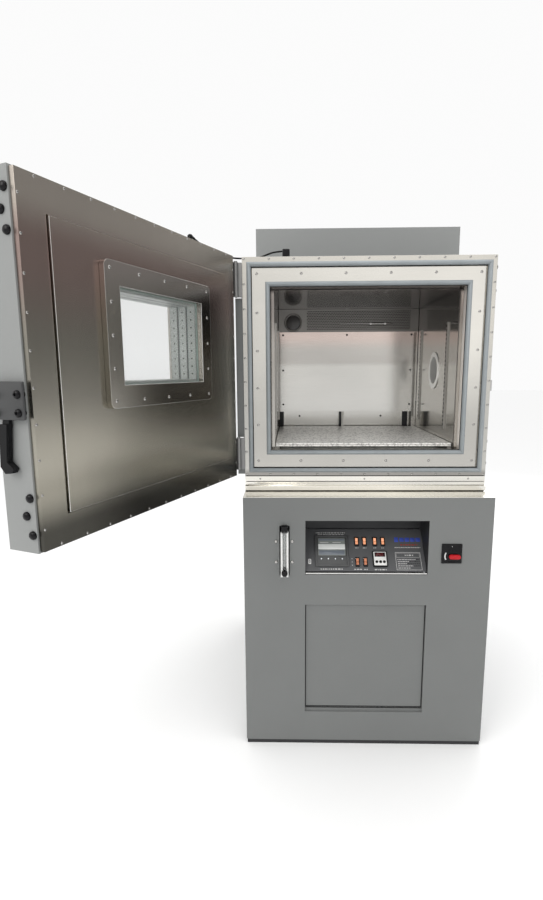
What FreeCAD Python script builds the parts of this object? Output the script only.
"""Floor-standing environmental test chamber: cabinet, chamber, door and console.

Millimetres, +Z up. The origin is on the floor at the centre of the base's footprint, the front
faces -Y and the user's right is +X. The door stands open, as its rest pose.
"""
import FreeCAD, Part
import math
import os
from FreeCAD import Vector, Rotation, Placement

# ---- driving dimensions -------------------------------------------------------------------
WIDTH = 813.0            # cabinet and chamber, outside
BASE_DEPTH = 982.0
BASE_TOP = 887.0         # top of the stainless deck
TOE_GAP = 14.0           # front panel's lower edge above the floor
CHAMBER_TOP = 1651.0
FACE_SETBACK = 102.5     # chamber face behind the base's front panel
SHEET = 1.5
RAIL = 40.0              # base frame tube
RAIL_WALL = 3.0
STAND_TOP = 66.0         # beams across the floor ring, under the machinery
ANCHOR_R = 6.5
ANCHOR_X = 768.0
ANCHOR_Y = 800.0

FLANGE_Z = (936.0, CHAMBER_TOP)
THROAT_X = 318.0         # half width of the mouth
THROAT_Z = (1026.0, 1560.0)
THROAT_DEPTH = 41.0
STRIP_RECESS = 6.0
STEP_X = 376.0           # where the flange steps back to the breaker strip
STEP_Z = (963.5, 1620.5)
LINER_X = 305.0
LINER_Z = (1026.0, 1553.0)
LINER_DEPTH = 740.0
BAFFLE_DEPTH = 600.0
BAFFLE_SPLIT_Z = 1456.0
BAFFLE_LOW_Z = 1109.0
WALL_GAP = 2.0           # foam to sheet
SEAM = 0.1               # between sheets or slabs that butt together

PORT_DEPTH = 322.0       # cable port centre behind the chamber face
PORT_Z = 1288.7
PORT_R = 51.0
PORT_FLANGE_R = 70.0

PIVOT_X = -425.0         # door hinge pin
PIVOT_SETBACK = 14.5     # in front of the chamber face
OPEN_DEG = 111.44
HINGE_PAD_W = 23.5       # painted strips on the left side, above and below the hinges
HINGE_PAD_Z = ((944.0, 961.0), (1071.0, 1523.5))
DOOR_W = 814.0           # stainless inner pan
DOOR_Z = (945.5, 1648.0)
DOOR_GAP = 14.0          # pan to chamber face when shut
DOOR_THICK = 90.0
DOOR_RETURN = 12.0
SHELL_LAP = 4.0          # painted shell stands proud of the pan
PLUG_A = (64.0, 746.0)   # raised plug panel, along the leaf from the hinge edge
PLUG_Z = (1010.0, 1581.5)
PLUG_RISE = 5.0
PLUG_GAP = 2.2           # groove round the plug panel
PANE_A = (231.0, 572.0)  # glass opening
PANE_Z = (1263.0, 1477.0)
FRAME_A = (183.0, 620.0)
FRAME_Z = (1211.0, 1529.0)
FRAME_RISE = 19.0        # window frame face above the pan

CONSOLE_X = (-203.0, 200.0)
CONSOLE_Z = (624.0, 808.0)
PANEL_FOOT = (8.6, 630.0)     # setback behind the front panel, height
PANEL_HEAD = (117.5, 746.4)
ACCESS_X = (-203.0, 200.0)
ACCESS_Z = (123.0, 517.0)
ACCESS_SEAM = 137.0
ACCESS_RECESS = 8.0
ACCESS_PIN = (12.0, 142.5)    # service door's hinge rod: setback, height

REAR_BOX_X = 381.0
REAR_BOX_DEPTH = (324.0, 760.0)
REAR_BOX_TOP = 1816.0
BLOWER_DEPTH = 670.0

LEAD_R = 2.75

# ---- places that follow from them ---------------------------------------------------------
HALF_W = WIDTH / 2
FRONT = -BASE_DEPTH / 2
BACK = BASE_DEPTH / 2
FACE = FRONT + FACE_SETBACK
PIVOT = Vector(PIVOT_X, FACE - PIVOT_SETBACK, 0)
PAN_LEFT = -DOOR_W / 2
PAN_Y = FACE - DOOR_GAP
EPS = 0.3

NODES = {}


def put(name, shape):
    """Keeps one node's shape under its name."""
    NODES[name] = shape


def box(x, y, z):
    """Box from three (low, high) pairs."""
    return Part.makeBox(x[1] - x[0], y[1] - y[0], z[1] - z[0], Vector(x[0], y[0], z[0]))


def cyl(radius, start, axis, length):
    return Part.makeCylinder(radius, length, Vector(*start), Vector(*axis))


def cone(r1, r2, start, axis, length):
    return Part.makeCone(r1, r2, length, Vector(*start), Vector(*axis))


def fuse(shapes):
    """One body from touching or overlapping pieces."""
    first, rest = shapes[0], shapes[1:]
    return first.fuse(rest).removeSplitter() if rest else first


def group(shapes):
    """Separate solids kept in one node."""
    return Part.makeCompound(shapes)


def frame_ring(outer_x, outer_z, inner_x, inner_z, y):
    """Rectangular ring in the XZ plane, y is its (low, high) thickness."""
    longer = (y[0] - 1, y[1] + 1)
    return box(outer_x, y, outer_z).cut(box(inner_x, longer, inner_z))


def prism_x(points, x):
    """Outline of (y, z) points, extruded along X."""
    corners = [Vector(x[0], py, pz) for py, pz in points]
    wire = Part.makePolygon(corners + [corners[0]])
    return Part.Face(wire).extrude(Vector(x[1] - x[0], 0, 0))


def rounded_ring(outer_x, outer_z, inner_x, inner_z, y, radius):
    """Rectangular ring with rounded outer corners."""
    block = box(outer_x, y, outer_z)
    corners = [e for e in block.Edges if abs(e.tangentAt(0).y) > 0.9]
    return block.makeFillet(radius, corners).cut(
        box(inner_x, (y[0] - 1, y[1] + 1), inner_z))


def spread(low, high, count):
    return [low + (high - low) * i / (count - 1) for i in range(count)]


def screw_head(x, y, z, radius=3.6, height=1.6, axis=(0, -1, 0)):
    return cone(radius, radius * 0.62, (x, y, z), axis, height)


def dome(x, y, z, radius, height, axis):
    """Button-shaped plug or bolt head."""
    foot = cyl(radius, (x, y, z), axis, height * 0.4)
    crown = cone(radius, radius * 0.55, Vector(x, y, z) + Vector(*axis) * height * 0.4, axis,
                 height * 0.6)
    return fuse([foot, crown])


# ---- base cabinet -------------------------------------------------------------------------
def base_frame():
    """Welded square tube: floor ring, four posts and top ring, anchor holes in the floor ring."""
    x_out, y_out = HALF_W - 2.5, BACK - 2.5
    x_in, y_in = x_out - RAIL, y_out - RAIL
    top = BASE_TOP - SHEET

    def skeleton(inset, low, high):
        xo, yo, xi, yi = x_out - inset, y_out - inset, x_in + inset, y_in + inset
        rings = []
        for z0 in (low, high - RAIL + 2 * inset):
            ring = box((-xo, xo), (-yo, yo), (z0, z0 + RAIL - 2 * inset))
            rings.append(ring.cut(box((-xi, xi), (-yi, yi), (z0 - 1, z0 + RAIL + 1))))
        posts = [box(sorted((sx * xo, sx * xi)), sorted((sy * yo, sy * yi)), (low, high))
                 for sx in (-1, 1) for sy in (-1, 1)]
        return fuse(rings + posts)

    tube = skeleton(0, 0, top).cut(skeleton(RAIL_WALL, RAIL_WALL, top - RAIL_WALL))
    holes = [cyl(ANCHOR_R, (sx * ANCHOR_X / 2, sy * ANCHOR_Y / 2, -1), (0, 0, 1), RAIL_WALL + 2)
             for sx in (-1, 1) for sy in (-1, 1)]
    put("base_frame", tube.cut(holes))


def base_panels():
    """Painted panels round the base, and the stainless deck on top."""
    top = BASE_TOP - SHEET
    t = 2.0
    front = box((-HALF_W, HALF_W), (FRONT, FRONT + t), (TOE_GAP, top))
    corners = [e for e in front.Edges if abs(e.tangentAt(0).y) > 0.9 and e.BoundBox.ZMax < 100]
    front = front.makeFillet(9.0, corners)
    through = (FRONT - 1, FRONT + 40)
    front = front.cut([
        box(CONSOLE_X, through, CONSOLE_Z),
        box(ACCESS_X, through, ACCESS_Z),
        box((-288.0, -255.0), through, (622.0, 791.0)),
        box((246.0, 305.0), through, (669.0, 728.0)),
    ])
    lip = 14.0
    behind = (FRONT + t, FRONT + lip)
    returns = [frame_ring((ACCESS_X[0] - t, ACCESS_X[1] + t), (ACCESS_Z[0] - t, ACCESS_Z[1] + t),
                          ACCESS_X, ACCESS_Z, behind)]
    seam_y = FRONT + ACCESS_RECESS
    returns.append(box(ACCESS_X, (seam_y, seam_y + SHEET), (ACCESS_Z[0], ACCESS_SEAM - 0.6)))
    put("base_front_panel", fuse([front] + returns))

    sides = []
    for side in (-1, 1):
        x = sorted((side * HALF_W, side * (HALF_W - SHEET)))
        skin = box(x, (FRONT + t, BACK - SHEET), (TOE_GAP, top))
        slots = [box((x[0] - 1, x[1] + 1), (120.0, 360.0), (z, z + 6.0))
                 for z in spread(150.0, 420.0, 10)]
        sides.append(skin.cut(slots))
    put("base_side_panels", group(sides))

    back = box((-HALF_W, HALF_W), (BACK - SHEET, BACK), (TOE_GAP, top))
    grille = [box((x, x + 150.0), (BACK - 5, BACK + 5), (z, z + 7.0))
              for z in spread(140.0, 520.0, 14) for x in (-170.0, 20.0)]
    put("base_back_panel", back.cut(grille))
    put("base_deck", box((-HALF_W, HALF_W), (FRONT, BACK), (top, BASE_TOP)))


def access_door():
    """Drop-front service door, hinged along its lower edge."""
    x = (ACCESS_X[0] + 1.0, ACCESS_X[1] - 1.0)
    z = (ACCESS_SEAM + 0.6, ACCESS_Z[1] - 1.2)
    y = FRONT + ACCESS_RECESS
    skin = box(x, (y, y + SHEET), z)
    rim = frame_ring(x, z, (x[0] + 2, x[1] - 2), (z[0] + 2, z[1] - 2), (y + SHEET, y + 10.0))
    rod = cyl(2.0, (x[0], FRONT + ACCESS_PIN[0], ACCESS_PIN[1]), (1, 0, 0), x[1] - x[0])
    put("access_door", fuse([skin, rim, rod]))


def refrigeration():
    """Compressor, condenser, and the condenser's fan, inside the base."""
    can = cyl(100.0, (170.0, 190.0, 78.0), (0, 0, 1), 210.0)
    rims = [e for e in can.Edges if e.Closed and len(e.Vertexes) == 1]
    can = can.makeFillet(42.0, rims)
    hollow = can.copy()
    hollow.scale(0.9, Vector(170.0, 190.0, 183.0))
    feet = box((60.0, 280.0), (80.0, 300.0), (STAND_TOP, STAND_TOP + 6.0))
    legs = [cyl(14.0, (170.0 + sx * 62, 190.0 + sy * 62, 72.0), (0, 0, 1), 24.0)
            for sx in (-1, 1) for sy in (-1, 1)]
    stand = [box((x, x + 30.0), (-(BACK - 2.5 - RAIL), BACK - 2.5 - RAIL), (RAIL, STAND_TOP))
             for x in (60.0, 250.0)]
    shell = fuse([can, feet] + legs + stand).cut(hollow)
    put("compressor", shell)
    hub_y = FRONT + 150.0
    coil = finned_coil((-200.0, 200.0), (FRONT + 70.0, FRONT + 112.0), (STAND_TOP, 520.0),
                       26, 6, 5.0)
    motor_y = hub_y + 40.0
    motor = cyl(42.0, (0, motor_y, 300.0), (0, 1, 0), 70.0).cut(
        cyl(5.06, (0, motor_y - 1, 300.0), (0, 1, 0), 24.0))
    arm = box((-10.0, 10.0), (FRONT + 100.0, motor_y + 50.0), (480.0, 484.0))
    hanger = box((-10.0, 10.0), (motor_y + 46.0, motor_y + 50.0), (335.0, 484.0))
    put("condenser_coil", fuse([coil, motor, hanger, arm]))
    hub = cyl(34.0, (0, hub_y, 300.0), (0, 1, 0), 36.0)
    shaft = cyl(5.0, (0, hub_y + 36.0, 300.0), (0, 1, 0), 20.0)
    blades = []
    for i in range(5):
        blade = box((30.0, 165.0), (hub_y + 16.0, hub_y + 19.0), (300.0 - 34.0, 300.0 + 34.0))
        blade.rotate(Vector(0, hub_y + 17.5, 300.0), Vector(1, 0, 0), 24)
        blade.rotate(Vector(0, 0, 300.0), Vector(0, 1, 0), 72 * i)
        blades.append(blade)
    put("condenser_fan", fuse([hub, shaft] + blades))


def finned_coil(x, y, z, fins, tubes, tube_r):
    """Tube-and-fin heat exchanger between two end plates."""
    plates = [box((px - 0.7, px + 0.7), y, z) for px in spread(x[0] + 0.7, x[1] - 0.7, fins)]
    mid = (y[0] + y[1]) / 2
    rows = [cyl(tube_r, (x[0], mid, tz), (1, 0, 0), x[1] - x[0])
            for tz in spread(z[0] + 30, z[1] - 30, tubes)]
    return fuse(plates + rows)


# ---- front console ------------------------------------------------------------------------
SLOPE = math.atan2(PANEL_HEAD[1] - PANEL_FOOT[1], PANEL_HEAD[0] - PANEL_FOOT[0])
PANEL_LEN = math.hypot(PANEL_HEAD[1] - PANEL_FOOT[1], PANEL_HEAD[0] - PANEL_FOOT[0])
ROCKERS = [(-25.6, 109.6), (1.2, 109.6), (36.6, 109.6), (63.8, 109.6), (-27.1, 35.4), (-0.5, 35.4)]
ROCKER_TILT = 6.0


def on_panel(shape):
    """Moves a shape from panel axes (across, up the slope, out of it) to the cabinet."""
    turned = shape.copy()
    slope = Placement(Vector(0, FRONT + PANEL_FOOT[0], PANEL_FOOT[1]),
                      Rotation(Vector(1, 0, 0), math.degrees(SLOPE)))
    turned.Placement = slope.multiply(shape.Placement)
    return turned


def plate(x, s, h):
    return box(x, s, h)


def console():
    """Recess in the front panel with a sloped instrument panel."""
    t = SHEET
    foot_y, foot_z = FRONT + PANEL_FOOT[0], PANEL_FOOT[1]
    head_y, head_z = FRONT + PANEL_HEAD[0], PANEL_HEAD[1]
    x0, x1 = CONSOLE_X
    low, high = CONSOLE_Z
    start = FRONT + 2.0
    cheek = [(start, low), (foot_y, low), (head_y + t, head_z - 3.0), (head_y + t, high),
             (start, high)]
    cheeks = [prism_x(cheek, (x0 - t, x0)), prism_x(cheek, (x1, x1 + t))]
    roof = box((x0 - t, x1 + t), (start, head_y + t), (high, high + t))
    back = box((x0 - t, x1 + t), (head_y, head_y + t), (head_z + 0.5, high + t))
    lip = prism_x([(FRONT, low), (FRONT + 7.5, low), (FRONT + 7.5, low + 5.0), (FRONT, low + 2.0)],
                  (x0, x1))
    put("console_tray", fuse(cheeks + [roof, back, lip]))

    panel = plate((x0 + 0.4, x1 - 0.4), (2.0, PANEL_LEN - 2.0), (-2.0, 0.0))
    holes = [plate((cx - 6.9, cx + 6.9), (cs - 14.6, cs + 14.6), (-3.0, 1.0)) for cx, cs in ROCKERS]
    frames = [plate((cx - 7.9, cx + 7.9), (cs - 16.6, cs + 16.6), (0.0, 1.8)).cut(
        plate((cx - 6.4, cx + 6.4), (cs - 14.0, cs + 14.0), (-1.0, 3.0))) for cx, cs in ROCKERS]
    port = plate((-191.5, -183.5), (29.0, 44.0), (0.0, 2.5)).cut(
        plate((-189.5, -185.5), (31.0, 42.0), (0.5, 3.0)))
    put("console_panel", on_panel(fuse([panel.cut(holes)] + frames + [port])))

    bezel = plate((-168.5, -55.4), (17.9, 130.6), (0.0, 6.0))
    edges = [e for e in bezel.Edges if abs(e.tangentAt(0).z) > 0.9]
    bezel = bezel.makeFillet(4.0, edges)
    bezel = bezel.cut(plate((-161.3, -62.3), (54.6, 120.4), (4.0, 7.0)))
    lamps = [cyl(1.6, (lx, 44.7, 6.0), (0, 0, 1), 0.6) for lx in spread(-148.0, -77.5, 4)]
    screen = plate((-161.0, -62.6), (54.9, 120.1), (4.0, 5.0))
    put("controller", on_panel(fuse([bezel, screen] + lamps)))

    body = plate((24.5, 73.5), (17.6, 73.0), (0.0, 7.0))
    edges = [e for e in body.Edges if abs(e.tangentAt(0).z) > 0.9]
    body = body.makeFillet(3.0, edges).cut(plate((30.0, 68.9), (51.1, 67.9), (6.0, 8.0)))
    keys = [cyl(4.6, (kx, 32.8, 7.0), (0, 0, 1), 0.8) for kx in (37.0, 50.4, 64.0)]
    put("limit_controller", on_panel(fuse([body] + keys)))

    for number, (cx, cs) in enumerate(ROCKERS, 1):
        put("rocker_switch_%d" % number, on_panel(rocker(cx, cs)))


def rocker(cx, cs):
    """Rocker cap, tipped to one side about its pivot."""
    outline = [(-12.4, 3.4), (0.0, 2.2), (12.4, 3.4), (12.4, -0.6), (4.0, -5.0), (-4.0, -5.0),
               (-12.4, -0.6)]
    trunnions = cyl(1.2, (-6.3, 0, 0), (1, 0, 0), 12.6)
    cap = fuse([prism_x(outline, (-5.9, 5.9)), trunnions])
    cap.rotate(Vector(0, 0, 0), Vector(1, 0, 0), ROCKER_TILT)
    cap.translate(Vector(cx, cs, 1.6))
    return cap


def flow_meter():
    """Purge flow meter with its needle valve, standing on the front panel."""
    x, mid = (-284.6, -258.0), -271.3
    body = box(x, (FRONT - 16.0, FRONT), (619.0, 794.0))
    edges = [e for e in body.Edges if abs(e.tangentAt(0).z) > 0.9 and e.BoundBox.YMax < FRONT - 10]
    body = body.makeFillet(3.0, edges)
    window = box((mid - 7.5, mid + 7.5), (FRONT - 20.0, FRONT - 3.0), (668.0, 770.0))
    bore = cyl(4.6, (mid, FRONT - 9.0, 655.0), (0, 0, 1), 124.0)
    spindle = cyl(3.05, (mid, FRONT - 20.0, 637.0), (0, 1, 0), 14.0)
    put("flow_meter_body", body.cut([window, bore, spindle]))
    tube = cyl(4.5, (mid, FRONT - 9.0, 656.0), (0, 0, 1), 122.0).cut(
        cyl(3.2, (mid, FRONT - 9.0, 658.0), (0, 0, 1), 118.0))
    put("flow_meter_tube", tube)
    ball = Part.makeSphere(2.6, Vector(mid, FRONT - 9.0, 669.0))
    put("flow_float", ball)
    knob = fuse([cyl(9.0, (mid, FRONT - 30.0, 637.0), (0, 1, 0), 13.0),
                 cyl(3.0, (mid, FRONT - 17.5, 637.0), (0, 1, 0), 10.0)])
    put("flow_knob", knob)


def disconnect():
    """Main switch: square plate and its turning handle."""
    x, z = (242.5, 308.5), (665.0, 731.5)
    mid = (275.5, 690.2)
    body = box(x, (FRONT - 4.0, FRONT), z)
    can = box((247.5, 303.5), (FRONT, FRONT + 48.0), (670.0, 727.0))
    bore = cyl(5.05, (mid[0], FRONT - 5.0, mid[1]), (0, 1, 0), 20.0)
    put("disconnect_plate", fuse([body, can]).cut(bore))
    y = FRONT - 4.3
    hub = cyl(6.5, (mid[0], y - 9.0, mid[1]), (0, 1, 0), 9.0)
    spindle = cyl(5.0, (mid[0], y, mid[1]), (0, 1, 0), 12.0)
    lever = box((mid[0] - 11.0, mid[0] + 26.0), (y - 12.0, y - 3.0), (mid[1] - 6.8, mid[1] + 6.8))
    edges = [e for e in lever.Edges if abs(e.tangentAt(0).y) > 0.9]
    put("disconnect_lever", fuse([hub, spindle, lever.makeFillet(6.0, edges)]))


# ---- chamber ------------------------------------------------------------------------------
def chamber_shell():
    """Painted outer skin: floor, two sides with the hinge pads, roof and back."""
    t = SHEET
    y = (FACE + 2.0, BACK)
    z = (BASE_TOP, CHAMBER_TOP)
    outer = box((-HALF_W, HALF_W), y, z)
    inner = box((-HALF_W + t, HALF_W - t), (y[0] - 1, y[1] - t), (z[0] + t, z[1] - t))
    port = cyl(PORT_R + 2.2, (HALF_W - 5, FACE + PORT_DEPTH, PORT_Z), (1, 0, 0), 10)
    shaft = cyl(12.0, (0, FACE + BLOWER_DEPTH, CHAMBER_TOP - 5), (0, 0, 1), 10)
    pads = [box((-HALF_W - HINGE_PAD_W, -HALF_W), (FACE + 3.0, FACE + 32.0), z)
            for z in HINGE_PAD_Z]
    put("chamber_shell", fuse([outer.cut([inner, port, shaft])] + pads))


def chamber_front():
    """Stainless flange, breaker strip with the mouth, sill trim and gaskets."""
    t = SHEET
    x = (-HALF_W, HALF_W)
    step_x = (-STEP_X, STEP_X)
    plate_ring = frame_ring(x, FLANGE_Z, step_x, STEP_Z, (FACE, FACE + 2.0))
    step = frame_ring((-STEP_X - t, STEP_X + t), (STEP_Z[0] - t, STEP_Z[1] + t), step_x, STEP_Z,
                      (FACE + 2.0, FACE + STRIP_RECESS + t))
    put("front_flange", fuse([plate_ring, step]))

    y = FACE + STRIP_RECESS
    throat_x = (-THROAT_X, THROAT_X)
    strip = frame_ring((step_x[0] + EPS, step_x[1] - EPS), (STEP_Z[0] + EPS, STEP_Z[1] - EPS),
                       throat_x, THROAT_Z, (y, y + t))
    mouth = frame_ring((-THROAT_X - t, THROAT_X + t), (THROAT_Z[0] - t, THROAT_Z[1] + t),
                       throat_x, THROAT_Z, (y + t, FACE + THROAT_DEPTH))
    put("breaker_strip", fuse([strip, mouth]))

    outer = rounded_ring((-392.0, 392.0), (950.0, 1635.0), (-378.0, 378.0), (965.0, 1620.0),
                         (FACE - 11.3, FACE), 4.0)
    inner = rounded_ring((-332.0, 332.0), (1010.5, 1574.5), (-318.0, 318.0), (1028.0, 1558.0),
                         (FACE - 7.5, FACE + STRIP_RECESS), 4.0)
    put("door_gaskets", group([outer, inner]))

    z0, z1 = BASE_TOP + 3.0, FLANGE_Z[0]
    trim = [(FACE + 2.0, z1), (FACE, z1), (FACE, z0 + 16.5), (FACE - 13.0, z0 + 14.5),
            (FACE - 13.0, z0), (FACE - 11.5, z0), (FACE - 11.5, z0 + 13.0), (FACE + 2.0, z0 + 15.0)]
    put("sill_trim", prism_x(trim, x))


def chamber_inside():
    """Foam, liner, baffles, light, probe, shelf standards and the cable port."""
    t = 1.2
    lx, (lz0, lz1) = LINER_X, LINER_Z
    y0, y1 = FACE + THROAT_DEPTH, FACE + LINER_DEPTH
    port_axis = FACE + PORT_DEPTH
    port_hole = cyl(PORT_R + 2.2, (lx - 5, port_axis, PORT_Z), (1, 0, 0), 120)
    shaft_hole = cyl(12.0, (0, FACE + BLOWER_DEPTH, lz1 - 5), (0, 0, 1), 110)

    brim = frame_ring((-THROAT_X - 1.5, THROAT_X + 1.5), (lz0 - t, THROAT_Z[1] + 1.5),
                      (-lx, lx), (lz0 - t - 1, lz1), (y0, y0 + t))
    depth = (y0 + t + SEAM, y1)
    high = (lz0 + SEAM, lz1 - SEAM)
    sheets = [box((-lx - t, lx + t), depth, (lz0 - t, lz0)),
              box((-lx - t, lx + t), depth, (lz1, lz1 + t)).cut(shaft_hole),
              box((-lx - t, -lx), depth, high),
              box((lx, lx + t), depth, high).cut(port_hole),
              box((-lx - t, lx + t), (y1 + SEAM, y1 + t), (lz0 - t, lz1 + t))]
    put("chamber_liner", group([brim] + sheets))

    shell_x = HALF_W - SHEET - WALL_GAP
    top, low = CHAMBER_TOP - SHEET - WALL_GAP, BASE_TOP + SHEET + WALL_GAP
    back = BACK - SHEET - WALL_GAP
    front = y0 + 3.0
    in_x, in_low, in_top, in_back = lx + t + 1, lz0 - t - 1, lz1 + t + 1, y1 + t + 1
    tall, long = (in_low + SEAM, in_top - SEAM), (front, in_back)
    slabs = [box((-shell_x, shell_x), (front, back), (low, in_low)),
             box((-shell_x, shell_x), (front, back), (in_top, top)).cut(shaft_hole),
             box((-shell_x, -in_x), long, tall),
             box((in_x, shell_x), long, tall).cut(port_hole),
             box((-shell_x, shell_x), (in_back + SEAM, back), tall)]
    put("chamber_insulation", group(slabs))

    face_y = FACE + BAFFLE_DEPTH
    panel = box((-303.0, 293.0), (face_y, face_y + t), (BAFFLE_LOW_Z, BAFFLE_SPLIT_Z))
    side = box((293.0, 303.5), (face_y + t, face_y + 2 * t), (lz0 + 1.0, BAFFLE_SPLIT_Z))
    overlap = box((286.0, 293.0), (face_y + t, face_y + 2 * t), (lz0 + 1.0, BAFFLE_SPLIT_Z))
    low_y = face_y + 26.0
    low_sheet = box((-303.0, 303.5), (low_y, low_y + t), (lz0 + 1.0, BAFFLE_LOW_Z + 25.0))
    posts = [box((px, px + w), (face_y + t, low_y), (lz0 + 1.0, BAFFLE_LOW_Z + 20.0))
             for px, w in ((-302.0, 19.0), (-36.0, 22.0), (245.0, 24.0))]
    put("baffle_panel", fuse([panel, side, overlap, low_sheet] + posts))

    upper = box((-303.5, 303.5), (face_y, face_y + t), (BAFFLE_SPLIT_Z + 0.6, lz1 - 0.6))
    light_x, light_z = -240.5, 1496.0
    rows = [box((x, x + 22.0), (face_y - 1, face_y + 5), (z, z + 3.0))
            for x in spread(-180.0, 246.0, 16) for z in spread(1468.0, 1540.0, 10)]
    upper = upper.cut(rows + [cyl(34.0, (light_x, face_y - 1, light_z), (0, 1, 0), 6)])
    put("perforated_baffle", upper)

    bezel = cyl(39.0, (light_x, face_y - 7.0, light_z), (0, 1, 0), 7.0).cut(
        cyl(30.5, (light_x, face_y - 8.0, light_z), (0, 1, 0), 7.0))
    can = cyl(33.5, (light_x, face_y - 0.01, light_z), (0, 1, 0), 48.0)
    lens = cyl(30.5, (light_x, face_y - 4.0, light_z), (0, 1, 0), 4.0)
    put("chamber_light", fuse([bezel, can, lens]))

    probe_y, probe_z = face_y - 16.0, 1489.0
    rod = cyl(2.4, (-40.0, probe_y, probe_z), (1, 0, 0), 228.0)
    sleeve = cyl(5.0, (96.0, probe_y, probe_z), (1, 0, 0), 56.0)
    clips = [box((cx, cx + 8.0), (probe_y - 6.0, face_y), (probe_z - 7.0, probe_z + 7.0))
             for cx in (90.0, 152.0)]
    put("sensor_probe", fuse([rod, sleeve] + clips))

    standards = []
    for side in (-1, 1):
        for depth in (157.0, 535.0):
            wall = sorted((side * (lx - 0.01), side * (lx - 5.0)))
            bar = box(wall, (FACE + depth - 7.0, FACE + depth + 7.0), (1080.0, 1457.0))
            slots = [box(sorted((side * (lx - 1.5), side * (lx - 6.0))),
                         (FACE + depth - 2.0, FACE + depth + 2.0), (z, z + 7.0))
                     for z in spread(1092.0, 1440.0, 24)]
            standards.append(bar.cut(slots))
        rail = box(sorted((side * lx, side * (lx - 16.0))), (FACE + 52.0, face_y - 6.0), (lz0, lz0 + 4.2))
        standards.append(rail)
    put("shelf_standards", group(standards))

    pipe = cyl(PORT_R + 2.0, (lx - 3.0, port_axis, PORT_Z), (1, 0, 0), HALF_W - lx + 6.0)
    inner_rim = cyl(PORT_FLANGE_R, (lx - 3.0, port_axis, PORT_Z), (1, 0, 0), 3.0)
    outer_rim = cyl(PORT_FLANGE_R, (HALF_W, port_axis, PORT_Z), (1, 0, 0), 3.0)
    bore = cyl(PORT_R, (lx - 10.0, port_axis, PORT_Z), (1, 0, 0), 130.0)
    put("port_sleeve", fuse([pipe, inner_rim, outer_rim]).cut(bore))
    stopper = fuse([cyl(PORT_R - 0.08, (HALF_W - 42.0, port_axis, PORT_Z), (1, 0, 0), 45.0),
                    cone(64.0, 60.0, (HALF_W + 3.3, port_axis, PORT_Z), (1, 0, 0), 12.0),
                    cyl(PORT_R - 0.08, (HALF_W + 3.0, port_axis, PORT_Z), (1, 0, 0), 1.0),
                    cyl(14.0, (HALF_W + 15.0, port_axis, PORT_Z), (1, 0, 0), 18.0)])
    put("port_plug", stopper)
    put("evaporator_coil", finned_coil((-290.0, 290.0), (FACE + 650.0, FACE + 700.0),
                                       (1150.0, 1400.0), 24, 4, 5.0))


def shelf():
    """Perforated tray that slides on the low side rails."""
    x = (-302.0, 302.0)
    y = (FACE + 50.0, FACE + 594.0)
    z = (1030.6, 1043.0)
    pan = box(x, y, z).cut(box((x[0] + 2, x[1] - 2), (y[0] + 2, y[1] - 2), (z[0] - 1, z[1] - 1.5)))
    bars = [cyl(r, (x[0], y[0] - 1.0, bz), (1, 0, 0), x[1] - x[0])
            for r, bz in ((3.2, z[1] - 3.2), (2.9, z[0] + 2.9))]
    holes = [box((hx, hx + 22.0), (hy, hy + 8.0), (z[1] - 5, z[1] + 5))
             for hx in spread(-285.0, 263.0, 16) for hy in spread(y[0] + 30.0, y[1] - 38.0, 18)]
    put("shelf_tray", fuse([pan] + bars).cut(holes))


def air_mover():
    """Motor in the rear box, driving a wheel in the plenum behind the baffle."""
    y = FACE + BLOWER_DEPTH
    wheel_z = (1470.0, 1528.0)
    hub = cyl(10.0, (0, y, wheel_z[0]), (0, 0, 1), 58.0)
    disc = cyl(56.0, (0, y, wheel_z[1] - 2.0), (0, 0, 1), 2.0)
    ring = cyl(56.0, (0, y, wheel_z[0]), (0, 0, 1), 2.0).cut(
        cyl(44.0, (0, y, wheel_z[0] - 1), (0, 0, 1), 4.0))
    shaft = cyl(6.0, (0, y, wheel_z[0]), (0, 0, 1), 1672.0 - wheel_z[0])
    vanes = []
    for i in range(20):
        vane = box((45.0, 55.0), (y - 0.8, y + 0.8), wheel_z)
        vane.rotate(Vector(50.0, y, 0), Vector(0, 0, 1), 35)
        vane.rotate(Vector(0, y, 0), Vector(0, 0, 1), 18 * i)
        vanes.append(vane)
    put("blower_wheel", fuse([hub, disc, ring, shaft] + vanes))
    case = cyl(58.0, (0, y, 1660.0), (0, 0, 1), 120.0)
    foot = box((-70.0, 70.0), (y - 70.0, y + 70.0), (CHAMBER_TOP, 1660.0))
    bore = cyl(6.06, (0, y, CHAMBER_TOP - 1), (0, 0, 1), 23.0)
    put("blower_motor", fuse([case, foot]).cut(bore))

    t = SHEET
    by = (FACE + REAR_BOX_DEPTH[0], FACE + REAR_BOX_DEPTH[1])
    outer = box((-REAR_BOX_X, REAR_BOX_X), by, (CHAMBER_TOP, REAR_BOX_TOP))
    inner = box((-REAR_BOX_X + t, REAR_BOX_X - t), (by[0] + t, by[1] - t),
                (CHAMBER_TOP - 1, REAR_BOX_TOP - t))
    vents = [box((x, x + 60.0), (by[1] - 4, by[1] + 4), (z, z + 5.0))
             for x in (-260.0, -180.0, 120.0, 200.0) for z in spread(1690.0, 1770.0, 6)]
    put("rear_box", outer.cut([inner] + vents))


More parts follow.
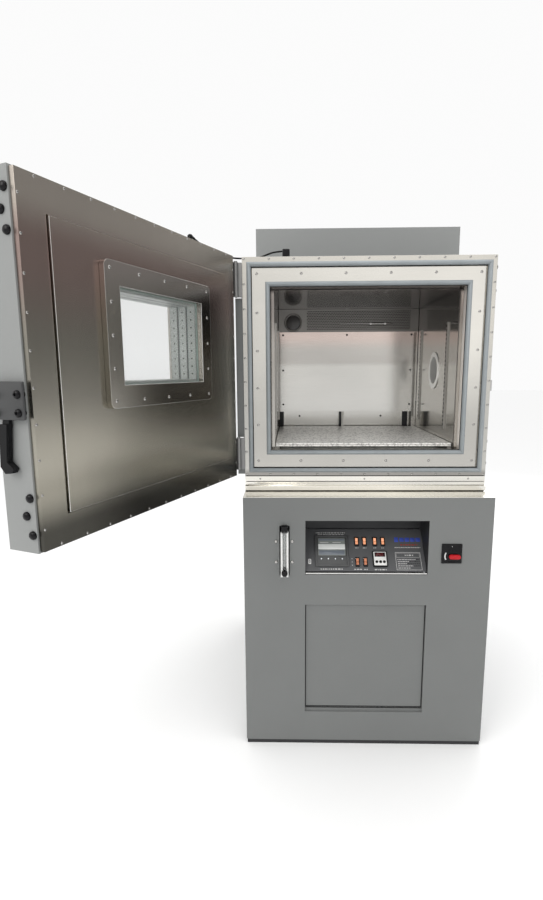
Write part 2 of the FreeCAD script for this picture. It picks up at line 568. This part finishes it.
# ---- fasteners ----------------------------------------------------------------------------
def cabinet_fasteners():
    """Screws and plugs that stay with the cabinet, one group of separate pieces."""
    heads = []
    for x in spread(-400.0, 400.0, 11):
        heads += [screw_head(x, FACE, z) for z in (942.5, 1645.0)]
    for z in spread(942.5, 1645.0, 10)[1:-1]:
        heads += [screw_head(x, FACE, z) for x in (-401.0, 401.0)]
    strip_y = FACE + STRIP_RECESS
    for x in spread(-360.0, 360.0, 6):
        heads += [screw_head(x, strip_y, z, 4.2) for z in (989.0, 1600.0)]
    for z in spread(989.0, 1600.0, 6)[1:-1]:
        heads += [screw_head(x, strip_y, z, 4.2) for x in (-360.0, 360.0)]
    heads += [screw_head(x, FACE, 927.0, 3.0) for x in (-355.0, 0.0, 350.0)]
    face_y = FACE + BAFFLE_DEPTH
    for x in (-285.0, 275.0):
        heads += [screw_head(x, face_y, z, 4.0) for z in (1141.0, 1291.0, 1443.0)]
    heads.append(screw_head(-5.7, face_y, 1443.0, 4.0))
    for x in (-299.3, -246.5):
        heads += [dome(x, FRONT, z, 5.5, 4.0, (0, -1, 0)) for z in (667.7, 738.5)]
    for depth, z in ((16.0, 1615.0), (29.0, 1578.5), (18.0, 1542.6),
                     (18.0, 1052.7), (30.0, 1016.4), (18.0, 978.7)):
        heads.append(dome(HALF_W, FACE + depth, z, 8.8, 6.0, (1, 0, 0)))
    put("cabinet_fasteners", group(heads))


# ---- door ---------------------------------------------------------------------------------
def swing(shape):
    """Turns a door piece from the shut position to the open rest position."""
    turned = shape.copy()
    turned.rotate(PIVOT, Vector(0, 0, 1), -OPEN_DEG)
    return turned


def leaf_x(pair):
    """Distances along the leaf from the pan's hinge edge, as X with the door shut."""
    return (PAN_LEFT + pair[0], PAN_LEFT + pair[1])


def leaf_y(pair):
    """Depths in front of the pan's face, as Y with the door shut."""
    return (PAN_Y - pair[1], PAN_Y - pair[0])


def grow(pair, by):
    return (pair[0] - by, pair[1] + by)


def door_leaf():
    """Painted shell, stainless pan, raised plug panel, foam and window."""
    t = SHEET
    pan_x = leaf_x((0, DOOR_W))
    skin_x, skin_z = grow(pan_x, SHELL_LAP), grow(DOOR_Z, SHELL_LAP)
    window_x, window_z = leaf_x(PANE_A), PANE_Z
    tunnel_x, tunnel_z = grow(window_x, 6.0), grow(window_z, 6.0)
    all_y = leaf_y((-60.0, DOOR_THICK + 10))

    outer = box(skin_x, leaf_y((DOOR_RETURN, DOOR_THICK)), skin_z)
    hollow = box(grow(skin_x, -t), leaf_y((DOOR_RETURN + t, DOOR_THICK - t)), grow(skin_z, -t))
    mouth = box(grow(skin_x, -26.0), leaf_y((DOOR_RETURN - 1, DOOR_RETURN + t + 1)),
                grow(skin_z, -26.0))
    window = box(tunnel_x, all_y, tunnel_z)
    put("door_shell", swing(outer.cut([hollow, mouth, window])))

    pan = box(pan_x, leaf_y((0, DOOR_RETURN - EPS)), DOOR_Z).cut(
        box(grow(pan_x, -t), leaf_y((t, DOOR_RETURN + 1)), grow(DOOR_Z, -t)))
    groove_x, groove_z = grow(leaf_x(PLUG_A), PLUG_GAP), grow(PLUG_Z, PLUG_GAP)
    opening = box(groove_x, all_y, groove_z)
    put("door_inner_pan", swing(pan.cut(opening)))

    plug = box(leaf_x(PLUG_A), leaf_y((-PLUG_RISE, -PLUG_RISE + t)), PLUG_Z)
    rim = frame_ring(leaf_x(PLUG_A), PLUG_Z, grow(leaf_x(PLUG_A), -t), grow(PLUG_Z, -t),
                     leaf_y((-PLUG_RISE + t, 14.0)))
    put("door_plug_panel", swing(fuse([plug, rim]).cut(window)))

    foam = box(grow(skin_x, -t - 1), leaf_y((16.0, DOOR_THICK - t - 1)), grow(skin_z, -t - 1))
    put("door_insulation", swing(foam.cut(box(grow(tunnel_x, 1.0), all_y, grow(tunnel_z, 1.0)))))

    face = rounded_ring(leaf_x(FRAME_A), FRAME_Z, window_x, window_z,
                        leaf_y((-FRAME_RISE, -PLUG_RISE)), 15.0)
    tunnel = frame_ring(grow(tunnel_x, -EPS), grow(tunnel_z, -EPS), window_x, window_z,
                        leaf_y((-PLUG_RISE, DOOR_THICK)))
    trim = rounded_ring(grow(window_x, 32.0), grow(window_z, 32.0), window_x, window_z,
                        leaf_y((DOOR_THICK, DOOR_THICK + 4.0)), 12.0)
    put("window_frame", swing(fuse([face, tunnel, trim])))
    panes = [box(grow(window_x, -0.4), leaf_y((d, d + 5.0)), grow(window_z, -0.4))
             for d in (-4.0, 24.0, 52.0, 80.0)]
    put("window_panes", swing(group(panes)))


def door_fasteners():
    """Screws of the pan and window, and plugs in the spare hinge holes."""
    heads = []
    for a in spread(46.0, 770.5, 11):
        for z in (951.0, 1642.5):
            heads.append(screw_head(PAN_LEFT + a, PAN_Y, z, 3.2, 1.5, (0, 1, 0)))
    for z in spread(990.0, 1605.0, 10):
        for a in (4.5, 809.5):
            heads.append(screw_head(PAN_LEFT + a, PAN_Y, z, 3.2, 1.5, (0, 1, 0)))
    face = PAN_Y + FRAME_RISE
    for a in spread(202.0, 603.0, 5):
        for z in (1228.0, 1512.0):
            heads.append(screw_head(PAN_LEFT + a, face, z, 4.0, 1.8, (0, 1, 0)))
    for z in spread(1228.0, 1512.0, 5)[1:-1]:
        for a in (202.0, 603.0):
            heads.append(screw_head(PAN_LEFT + a, face, z, 4.0, 1.8, (0, 1, 0)))
    side = PAN_LEFT + DOOR_W + SHELL_LAP
    for depth, z in ((22.0, 1615.0), (33.0, 1578.5), (22.0, 1542.6),
                     (22.0, 1052.7), (34.0, 1016.4), (22.0, 978.7)):
        heads.append(dome(side, PAN_Y - depth, z, 8.8, 6.0, (1, 0, 0)))
    put("door_fasteners", swing(group(heads)))


HINGE_Z = (1578.5, 1016.0)
KNUCKLE_R = 7.5
HINGE_LEN = 107.0


def hinges():
    """Two knuckle hinges: fixed leaves on the chamber, moving leaves and pins on the door."""
    px, py = PIVOT.x, PIVOT.y
    fixed, moving = [], []
    for mid in HINGE_Z:
        cuts = spread(mid - HINGE_LEN / 2, mid + HINGE_LEN / 2, 6)
        low, high = cuts[0], cuts[-1]
        arm_y = py + KNUCKLE_R
        plate_f = fuse([box((px, -HALF_W), (arm_y - 3.0, arm_y), (low, high)),
                        box((-HALF_W - 3.0, -HALF_W), (arm_y, FACE + 44.0), (low, high))])
        door_x = PAN_LEFT - SHELL_LAP
        plate_m = fuse([box((px, door_x), (py - KNUCKLE_R, py - KNUCKLE_R + 3.0), (low, high)),
                        box((door_x - 3.0, door_x), (py - 76.0, py - KNUCKLE_R + 3.0),
                            (low, high))])
        for i in range(5):
            z0, z1 = cuts[i] + 0.2, cuts[i + 1] - 0.2
            barrel = cyl(KNUCKLE_R, (px, py, z0), (0, 0, 1), z1 - z0)
            clear = cyl(KNUCKLE_R + 0.6, (px, py, cuts[i]), (0, 0, 1), cuts[i + 1] - cuts[i])
            if i % 2 == 0:
                plate_f = plate_f.fuse(barrel)
                plate_m = plate_m.cut(clear)
            else:
                plate_m = plate_m.fuse(barrel)
                plate_f = plate_f.cut(clear)
        pin_hole = cyl(3.06, (px, py, low - 5), (0, 0, 1), HINGE_LEN + 10)
        pin = cyl(3.0, (px, py, low - 2.0), (0, 0, 1), HINGE_LEN + 4.0)
        cap = cyl(5.5, (px, py, high + 0.5), (0, 0, 1), 2.5)
        fixed.append(plate_f.cut(pin_hole))
        moving.append(fuse([plate_m.cut(pin_hole), pin, cap]))
    put("chamber_hinge_leaves", group(fixed))
    put("door_hinge_leaves", swing(group(moving)))


HANDLE_DEPTH = 60.0      # handle pivot in front of the pan
HANDLE_Z = 1222.0


def latch():
    """Side-mounted latch: plates, pull handle and the strike on the chamber."""
    side = PAN_LEFT + DOOR_W + SHELL_LAP
    z = (1205.0, 1276.0)
    back_plate = box((side, side + 2.0), leaf_y((14.0, 82.0)), z)
    cover = box((side + 12.0, side + 16.0), leaf_y((2.0, 82.0)), z)
    spots = ((14.5, 1252.8), (14.5, 1218.4), (71.0, 1250.5), (71.0, 1216.0))
    stands = [cyl(5.0, (side + 2.0, PAN_Y - d, bz), (1, 0, 0), 10.0) for d, bz in spots[:2]]
    stands += [cyl(5.0, (side + 2.0, PAN_Y - d - 4.0, bz), (1, 0, 0), 10.0) for d, bz in spots[2:]]
    heads = [dome(side + 16.0, PAN_Y - d, bz, 8.0, 6.0, (1, 0, 0)) for d, bz in spots]
    pin = cyl(4.0, (side + 2.0, PAN_Y - HANDLE_DEPTH + 8.0, HANDLE_Z), (1, 0, 0), 10.0)
    put("latch_body", swing(fuse([back_plate, cover, pin] + stands + heads)))

    y = PAN_Y - HANDLE_DEPTH + 8.0
    x = (side + 3.0, side + 11.0)
    hub = cyl(10.5, (x[0], y, HANDLE_Z), (1, 0, 0), 8.0)
    neck = [(y - 9.0, HANDLE_Z), (y + 6.0, HANDLE_Z), (y + 3.0, 1193.0), (y - 14.0, 1193.0)]
    grip = [(y - 16.0, 1196.5), (y + 4.0, 1196.5), (y - 4.0, 1124.0), (y + 12.0, 1112.0),
            (y + 7.0, 1103.0), (y - 10.0, 1101.0), (y - 22.0, 1114.0)]
    lever = fuse([hub, prism_x(neck, x), prism_x(grip, (side + 3.0, side + 17.0))])
    bore = cyl(4.06, (side, y, HANDLE_Z), (1, 0, 0), 14.0)
    put("door_handle", swing(lever.cut(bore)))

    strike = fuse([box((HALF_W, HALF_W + 2.0), (FACE + 6.0, FACE + 46.0), (1212.0, 1268.0)),
                   box((HALF_W + 2.0, HALF_W + 7.0), (FACE + 6.0, FACE + 16.0), (1222.0, 1258.0))])
    put("latch_strike", strike)


# ---- lead across the hinge ----------------------------------------------------------------
GLAND = (175.0, 45.0)    # along the leaf, in front of the pan


def lead_route():
    """Route of the window heater's lead, from the door's gland to the chamber's connector."""
    on_door = [(155.2, 1670.5), (136.0, 1667.0), (112.0, 1660.5), (80.0, 1657.0),
               (40.0, 1656.6), (2.0, 1656.8), (-26.0, 1655.0)]
    points = []
    for a, z in on_door:
        spot = Vector(PAN_LEFT + a, PAN_Y - GLAND[1], z)
        turn = Rotation(Vector(0, 0, 1), -OPEN_DEG)
        points.append(PIVOT + turn.multVec(spot - PIVOT))
    on_top = [(-438.0, 30.0, 1653.5), (-408.0, 49.0, 1655.6), (-378.0, 56.0, 1655.4),
              (-352.0, 52.0, 1658.0), (-328.0, 43.0, 1665.5), (-305.0, 37.0, 1672.5),
              (-277.0, 35.0, 1674.0)]
    points += [Vector(x, FACE + depth, z) for x, depth, z in on_top]
    return points


def cord_tube(points, radius):
    """Straight runs joined by tangent arcs, swept by a circle."""
    edges, tips, report = [], points[0], []
    for i in range(1, len(points) - 1):
        before, at, after = points[i - 1], points[i], points[i + 1]
        back, ahead = (before - at), (after - at)
        shorter = min(back.Length, ahead.Length)
        reach = 0.45 * shorter
        u, v = back.normalize(), ahead.normalize()
        turn = math.pi - u.getAngle(v)
        arc_r = reach / math.tan(turn / 2)
        report.append(round(arc_r, 1))
        start, end = at + u * reach, at + v * reach
        axis = (u + v).normalize()
        middle = at + axis * (arc_r / math.cos(turn / 2) - arc_r)
        edges.append(Part.LineSegment(tips, start).toShape())
        edges.append(Part.Arc(start, middle, end).toShape())
        tips = end
    edges.append(Part.LineSegment(tips, points[-1]).toShape())
    path = Part.Wire(edges)
    first = (points[1] - points[0]).normalize()
    circle = Part.Wire([Part.Circle(points[0], first, radius).toShape()])
    solid = path.makePipeShell([circle], True, True)
    ratio = solid.Volume / (math.pi * radius * radius * path.Length)
    print("lead length %.0f, volume ratio %.4f, radii %s" % (path.Length, ratio, report))
    return solid


def lead_pieces():
    """Gland on the door's top edge, connector on the chamber's roof, and the lead."""
    route = lead_route()
    top = DOOR_Z[1] + SHELL_LAP
    gx, gy = PAN_LEFT + GLAND[0], PAN_Y - GLAND[1]
    nut = cyl(9.5, (gx, gy, top), (0, 0, 1), 6.0)
    neck = cyl(7.0, (gx, gy, top + 6.0), (0, 0, 1), 11.0)
    head = Part.makeSphere(8.2, Vector(gx, gy, 1670.5))
    run = cone(6.5, 4.0, (gx - 4.0, gy, 1670.5), (-1, 0, 0), 15.0)
    put("door_gland", swing(fuse([nut, neck, head, run])))
    end = route[-1]
    body = box((end.x + 0.5, end.x + 24.0), (end.y - 11.0, end.y + 11.0), (CHAMBER_TOP, 1679.0))
    ribs = [box((x, x + 2.0), (end.y - 12.0, end.y + 12.0), (CHAMBER_TOP, 1680.0))
            for x in spread(end.x + 3.0, end.x + 15.0, 4)]
    put("lead_connector", fuse([body] + ribs))
    put("window_lead", cord_tube(route, LEAD_R))


def build():
    base_frame()
    base_panels()
    access_door()
    refrigeration()
    console()
    flow_meter()
    disconnect()
    chamber_shell()
    chamber_front()
    chamber_inside()
    shelf()
    air_mover()
    cabinet_fasteners()
    door_leaf()
    door_fasteners()
    hinges()
    latch()
    lead_pieces()
    os.makedirs("parts", exist_ok=True)
    for name, shape in NODES.items():
        if not shape.isValid() or not shape.Solids:
            print("check", name, "valid", shape.isValid(), "solids", len(shape.Solids))
        shape.exportStep("parts/%s.step" % name)
    print(len(NODES), "nodes")


build()
